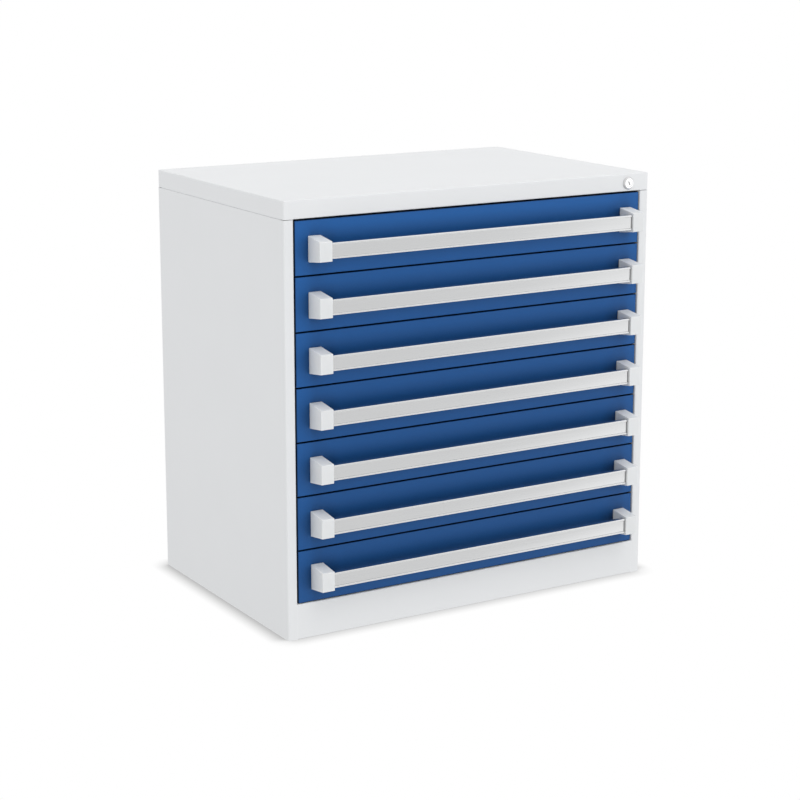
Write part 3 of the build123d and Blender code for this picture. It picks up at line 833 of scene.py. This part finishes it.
class CABINET_OT_carcass(bpy.types.Operator):
    """Rounds the carcass panels' edges and finishes the carcass and the fixed runner parts"""

    bl_idname = "cabinet.carcass"
    bl_label = "Dress the carcass"

    def execute(self, context):
        radius = context.scene.cabinet_finish.edge_radius
        for node in ("top_cover", "side_left", "side_right", "base_pan", "back_panel"):
            rounded_copy(node, "carcass_paint", radius)
        for node in ("runner_uprights", "cabinet_rails"):
            finish_node(node, "zinc_steel")
        return {"FINISHED"}


class CABINET_OT_drawers(bpy.types.Operator):
    """Rounds the edges of the drawer fronts and boxes and finishes them and their rails"""

    bl_idname = "cabinet.drawers"
    bl_label = "Dress the drawers"

    def execute(self, context):
        radius = context.scene.cabinet_finish.edge_radius
        for number in DRAWERS:
            drawer = f"drawer{number}"
            rounded_copy(drawer + "_front", "drawer_paint", radius)
            rounded_copy(drawer + "_box", "box_paint", radius)
            finish_node(drawer + "_rails", "zinc_steel")
            finish_node(drawer + "_middle_rails", "zinc_steel")
        return {"FINISHED"}


def bar_rings(box, strip_box, handles):
    """End rings of a handle bar, whose section has the label groove in front.

    The section's corners are (y, z) from the bar's face and its middle height.
    """
    low, high = box
    depth, half = high.y - low.y, (high.z - low.z) / 2
    groove_half = (strip_box[1].z - strip_box[0].z) / 2
    window_half = groove_half - handles.lip_cover
    groove = handles.lip_thickness
    bed = groove + handles.groove_depth
    outside = [(0, half), (depth, half), (depth, -half), (0, -half)]
    inside = [
        (groove, -window_half), (groove, -groove_half), (bed, -groove_half),
        (bed, groove_half), (groove, groove_half), (groove, window_half),
    ]
    corners = [*outside, (0, -window_half), *inside, (0, window_half)]
    lip = handles.lip_rounding
    radii = [handles.bar_rounding] * 4 + [lip] + [handles.groove_rounding] * 6 + [lip]
    outline = rounded_outline(corners, radii) + [low.y, (low.z + high.z) / 2]
    return swept(outline, (low.x, high.x))


def strip_rings(box, rounding):
    """End rings of a label strip."""
    low, high = box
    corners = [(low.y, low.z), (high.y, low.z), (high.y, high.z), (low.y, high.z)]
    return swept(rounded_outline(corners, rounding), (low.x, high.x))


def cap_rings(left, box, handles):
    """Rings of a handle cap from the drawer front out to its face, with its left side at the given x.

    The half height falls evenly from the root's to the face's. Over the last of the depth the outline
    draws in by r (1 - cos a) while it moves out by r sin a, with a from 0 to a right angle, which rounds
    the face's edge.
    """
    low, high = box
    rounding = handles.cap_rounding
    half_width = handles.cap_width / 2
    root_half, face_half = (high.z - low.z) / 2, handles.cap_face_height / 2
    reach = high.y - low.y
    angle = np.linspace(0, math.pi / 2, 7)
    out = np.concatenate([[0.0], reach - rounding + rounding * np.sin(angle)])
    inset = np.concatenate([[0.0], rounding * (1 - np.cos(angle))])
    half = root_half + (face_half - root_half) * np.minimum(out, reach) / reach
    middle_x, middle_z = left + half_width, (high.z + low.z) / 2
    rings = []
    for distance, shrink, half_height in zip(out, inset, half):
        w, h = half_width - shrink, half_height - shrink
        corner = max(rounding - shrink, LEAST_RADIUS)
        outline = rounded_outline([(-w, -h), (w, -h), (w, h), (-w, h)], corner)
        y = np.full(len(outline), high.y - distance)
        rings.append(np.column_stack([outline[:, 0] + middle_x, y, outline[:, 1] + middle_z]))
    return np.array(rings)


class CABINET_OT_handles(bpy.types.Operator):
    """Makes each drawer's handle bar, its two end caps and its label strip"""

    bl_idname = "cabinet.handles"
    bl_label = "Make the handles"

    def execute(self, context):
        handles = context.scene.cabinet_handles
        for number in DRAWERS:
            drawer, body = f"drawer{number}", f"drawer_{number}"
            strip_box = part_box(drawer + "_label_strip")
            bar = outward(tube(bar_rings(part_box(drawer + "_handle_bar"), strip_box, handles)))
            new_piece(drawer + "_bar", bar, body, "handle_aluminium", [drawer + "_handle_bar"])
            strip = outward(tube(strip_rings(strip_box, handles.strip_rounding)))
            new_piece(drawer + "_strip", strip, body, "label_plastic", [drawer + "_label_strip"])
            caps_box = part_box(drawer + "_handle_caps")
            left = outward(tube(cap_rings(caps_box[0].x, caps_box, handles)))
            new_piece(drawer + "_cap_left", left, body, "cap_plastic", [drawer + "_handle_caps"])
            right_x = caps_box[1].x - handles.cap_width
            right = outward(tube(cap_rings(right_x, caps_box, handles)))
            new_piece(drawer + "_cap_right", right, body, "cap_plastic")
        return {"FINISHED"}


def barrel_rings(lock):
    """Rings of the lock's barrel: a bored body behind the rail, and a rim and flat face before it."""
    low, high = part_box("lock_barrel")
    plug_low, plug_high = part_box("lock_plug")
    rail_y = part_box("top_cover")[0].y
    rim = (high.x - low.x) / 2
    bore = (plug_high.x - plug_low.x) / 2 + lock.plug_clearance
    body = lock.body_radius
    corners_and_radii = [
        ((bore, low.y), lock.bore_rounding),
        ((rim * lock.face_ratio, low.y), lock.face_rounding),
        ((rim, rail_y - lock.rim_thickness), lock.rim_rounding),
        ((rim, rail_y), LEAST_RADIUS),
        ((body, rail_y), LEAST_RADIUS),
        ((body, high.y), lock.body_rounding),
        ((bore, high.y), 2 * LEAST_RADIUS),
    ]
    profile = rounded_outline(*zip(*corners_and_radii))
    return revolved(profile, ((low.x + high.x) / 2, 0, (low.z + high.z) / 2))


class CABINET_OT_lock(bpy.types.Operator):
    """Makes the lock's turned barrel and finishes its plug, crank and locking rod"""

    bl_idname = "cabinet.lock"
    bl_label = "Make the lock"

    def execute(self, context):
        lock = context.scene.cabinet_lock
        barrel = outward(tube(barrel_rings(lock), looped=True))
        new_piece("lock_barrel_turned", barrel, "cabinet", "lock_chrome", ["lock_barrel"])
        rounded_copy("lock_plug", "lock_chrome", lock.plug_rounding)
        for node in ("lock_crank", "locking_rod"):
            finish_node(node, "zinc_steel")
        return {"FINISHED"}


def head(radius, height, toward):
    """Domed head on the origin with a flat underside, rising along +Y, +X or -X.

    The profile is r = radius cos a, y = height sin a, with a from 0 at the rim to nearly a right angle.
    """
    angle = np.linspace(0, math.radians(80), 6)
    profile = np.column_stack([radius * np.cos(angle), height * np.sin(angle)])
    points, faces = tube(revolved(profile, (0, 0, 0), steps=16))
    if toward != "back":
        points = points[:, [1, 0, 2]] * [1 if toward == "right" else -1, 1, 1]
    return outward((points, faces))


def heads(places, shape):
    """The same head at every place, as one shape."""
    points, faces = shape
    places = np.asarray(places, dtype=float)
    starts = range(0, len(places) * len(points), len(points))
    vertices = (places[:, None] + points[None]).reshape(-1, 3)
    return vertices, [[i + start for i in face] for start in starts for face in faces]


def joined(*shapes):
    """Several shapes as one."""
    faces, start = [], 0
    for vertices, polygons in shapes:
        faces += [[i + start for i in face] for face in polygons]
        start += len(vertices)
    return np.concatenate([vertices for vertices, polygons in shapes]), faces


class CABINET_OT_fasteners(bpy.types.Operator):
    """Adds the screws that hold the back panel and the rivets of the drawer rails"""

    bl_idname = "cabinet.fasteners"
    bl_label = "Add the fasteners"

    def execute(self, context):
        sizes = context.scene.cabinet_fasteners
        low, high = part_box("back_panel")
        inset_x, inset_z = sizes.screw_inset
        xs = np.linspace(low.x + inset_x, high.x - inset_x, sizes.screw_count)
        zs = np.linspace(low.z + inset_z, high.z - inset_z, sizes.screw_count)
        places = [(x, high.y, z) for x in xs for z in (zs[0], zs[-1])]
        places += [(x, high.y, z) for x in (xs[0], xs[-1]) for z in zs[1:-1]]
        screws = heads(places, head(sizes.screw_radius, sizes.screw_height, "back"))
        new_piece("back_panel_screws", screws, "cabinet", "zinc_steel")
        to_right = head(sizes.rivet_radius, sizes.rivet_height, "right")
        to_left = head(sizes.rivet_radius, sizes.rivet_height, "left")
        for number in DRAWERS:
            drawer = f"drawer{number}"
            low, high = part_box(drawer + "_rails")
            side = -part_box(drawer + "_box")[0].x - sizes.hem_width
            inner, outer = side - sizes.box_sheet, side + sizes.rail_sheet
            inset = sizes.rivet_inset
            ys = np.linspace(low.y + inset, high.y - inset, sizes.rivet_count)
            z = (low.z + high.z) / 2
            rows = ((outer, to_right), (inner, to_left), (-outer, to_left), (-inner, to_right))
            rivets = joined(*[heads([(x, y, z) for y in ys], shape) for x, shape in rows])
            new_piece(drawer + "_rivets", rivets, f"drawer_{number}", "zinc_steel")
        return {"FINISHED"}


# Stage


def studio_floor(stage):
    """White floor with a soft contact shadow where the camera sees it.

    Other light passes through it from below, and matt surfaces get it dimmed where it passes beside the
    cabinet. With d the distance from the cabinet's footprint, the share lost is
    shade (1 - smoothstep(d / reach)).
    """
    material = bpy.data.materials.new("studio_floor")
    shading = Shading(material, emptied=True)
    calc = shading.calc
    path = shading.add("LightPath").outputs
    axes = shading.axes(shading.place())
    front_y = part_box("base_pan")[0].y
    in_front = shading.faded(axes["Y"], front_y + stage.contact_reach / 2, front_y)
    kept = calc("MULTIPLY_ADD", in_front, stage.front_share - 1, 1.0)
    lost = calc("SUBTRACT", 1.0, shading.openness(stage.contact_reach, samples=16))
    glow = shading.add("Emission", {"Strength": calc("SUBTRACT", 1.0, calc("MULTIPLY", lost, kept))})
    low, high = CAD_BOX
    squares = []
    for axis in (0, 1):
        middle, half = (low[axis] + high[axis]) / 2, (high[axis] - low[axis]) / 2
        offset = calc("ABSOLUTE", calc("SUBTRACT", axes[axis], middle))
        beyond = calc("MAXIMUM", calc("SUBTRACT", offset, half), 0.0)
        squares.append(calc("MULTIPLY", beyond, beyond))
    distance = calc("SQRT", calc("ADD", *squares))
    beside = shading.faded(distance, stage.floor_shade_reach, 0.0)
    dimmed = calc("MULTIPLY", beside, calc("SUBTRACT", 1.0, path["Is Glossy Ray"]))
    passed = calc("MULTIPLY_ADD", dimmed, -stage.floor_shade, 1.0)
    clear = shading.add("BsdfTransparent", {"Color": passed})
    by_ray = {0: path["Is Camera Ray"], 1: clear.outputs["BSDF"], 2: glow.outputs["Emission"]}
    shading.add("OutputMaterial", {"Surface": shading.add("MixShader", by_ray).outputs["Shader"]})
    return material


def studio_sky(stage):
    """Even light from all round with a slight slope. Camera, gloss and metal see a white background.

    In the direction d the light's strength is s (1 + slope . d + b max(0, e . d) ^ n), with e the
    direction of the softbox. The background's is 1 + u max(0, d_z) + p f(a), where a is the angle from
    the front towards the right, and f fades in and out at the edges of a tall soft panel.
    """
    world = bpy.data.worlds.new("studio_sky")
    shading = Shading(world, emptied=True)
    calc = shading.calc
    white = (1, 1, 1, 1)
    direction = shading.add("TexCoord").outputs["Generated"]
    axes = shading.axes(direction)
    toward = shading.dot(direction, Vector(stage.softbox_toward).normalized())
    lobe = calc("POWER", calc("MAXIMUM", toward, 0.0), stage.softbox_focus)
    softbox = calc("MULTIPLY_ADD", lobe, stage.softbox_strength, 1.0)
    even = calc("ADD", shading.dot(direction, stage.sky_slope), softbox)
    light = {"Color": white, "Strength": calc("MULTIPLY", even, stage.sky_strength)}
    angle = calc("ARCTAN2", axes["X"], calc("MULTIPLY", axes["Y"], -1.0))
    near, full, leaving, gone = stage.panel_edges
    coming, going = shading.faded(angle, near, full), shading.faded(angle, gone, leaving)
    above = calc("MAXIMUM", axes["Z"], 0.0)
    plain = calc("MULTIPLY_ADD", above, stage.overhead_strength, 1.0)
    panel = calc("MULTIPLY_ADD", calc("MULTIPLY", coming, going), stage.panel_strength, plain)
    seen_directly = {"Color": white, "Strength": panel}
    path = shading.add("LightPath").outputs
    seen = calc("MAXIMUM", path["Is Camera Ray"], path["Is Glossy Ray"])
    seen = calc("MAXIMUM", seen, path["Is Transmission Ray"])
    by_ray = {
        0: seen,
        1: shading.add("Background", light).outputs["Background"],
        2: shading.add("Background", seen_directly).outputs["Background"],
    }
    shading.add("OutputWorld", {"Surface": shading.add("MixShader", by_ray).outputs["Shader"]})
    return world


class CABINET_OT_stage(bpy.types.Operator):
    """Sets the floor, the even studio light and the photograph's camera"""

    bl_idname = "cabinet.stage"
    bl_label = "Set the stage"

    def execute(self, context):
        scene = context.scene
        stage = scene.cabinet_stage
        side = FLOOR_HALF_SIDE
        corners = [(-side, -side, 0), (side, -side, 0), (side, side, 0), (-side, side, 0)]
        floor_mesh = bpy.data.meshes.new("floor")
        floor_mesh.from_pydata(corners, [], [(0, 1, 2, 3)])
        floor_mesh.materials.append(studio_floor(stage))
        floor = bpy.data.objects.new("floor", floor_mesh)
        scene.collection.objects.link(floor)
        scene.world = studio_sky(stage)
        scene.view_settings.view_transform = "Standard"
        camera_data = bpy.data.cameras.new("photo_camera")
        camera_data.sensor_width = SENSOR_WIDTH
        camera_data.lens = SENSOR_WIDTH * stage.focal_px / PHOTO_SIDE
        camera_data.shift_y = (stage.axis_row - PHOTO_SIDE / 2) / PHOTO_SIDE
        camera = bpy.data.objects.new("photo_camera", camera_data)
        camera.location = stage.camera_place
        camera.rotation_euler = (math.pi / 2 - stage.camera_pitch, 0, -stage.camera_yaw)
        scene.collection.objects.link(camera)
        scene.camera = camera
        return {"FINISHED"}


# Panel and registration


class CABINET_PT_dressing(bpy.types.Panel):
    """Sizes, colours and the steps that dress the cabinet"""

    bl_idname = "CABINET_PT_dressing"
    bl_label = "Drawer cabinet"
    bl_space_type = "VIEW_3D"
    bl_region_type = "UI"
    bl_category = "Cabinet"

    def draw(self, context):
        for group in GROUPS:
            properties = getattr(context.scene, group)
            box = self.layout.box()
            for name in type(properties).__annotations__:
                box.prop(properties, name)
        for operator in STEPS:
            self.layout.operator(operator.bl_idname)


GROUPS = {
    "cabinet_finish": CabinetFinish,
    "cabinet_handles": CabinetHandles,
    "cabinet_lock": CabinetLock,
    "cabinet_fasteners": CabinetFasteners,
    "cabinet_stage": CabinetStage,
}
STEPS = (
    CABINET_OT_carcass,
    CABINET_OT_drawers,
    CABINET_OT_handles,
    CABINET_OT_lock,
    CABINET_OT_fasteners,
    CABINET_OT_stage,
)


def register():
    for group, kind in GROUPS.items():
        bpy.utils.register_class(kind)
        setattr(bpy.types.Scene, group, bpy.props.PointerProperty(type=kind))
    for kind in (*STEPS, CABINET_PT_dressing):
        bpy.utils.register_class(kind)


def unregister():
    for kind in (CABINET_PT_dressing, *reversed(STEPS)):
        bpy.utils.unregister_class(kind)
    for group, kind in GROUPS.items():
        delattr(bpy.types.Scene, group)
        bpy.utils.unregister_class(kind)


def main():
    register()
    for operator in STEPS:
        group, name = operator.bl_idname.split(".")
        getattr(getattr(bpy.ops, group), name)()


if __name__ == "__main__":
    main()
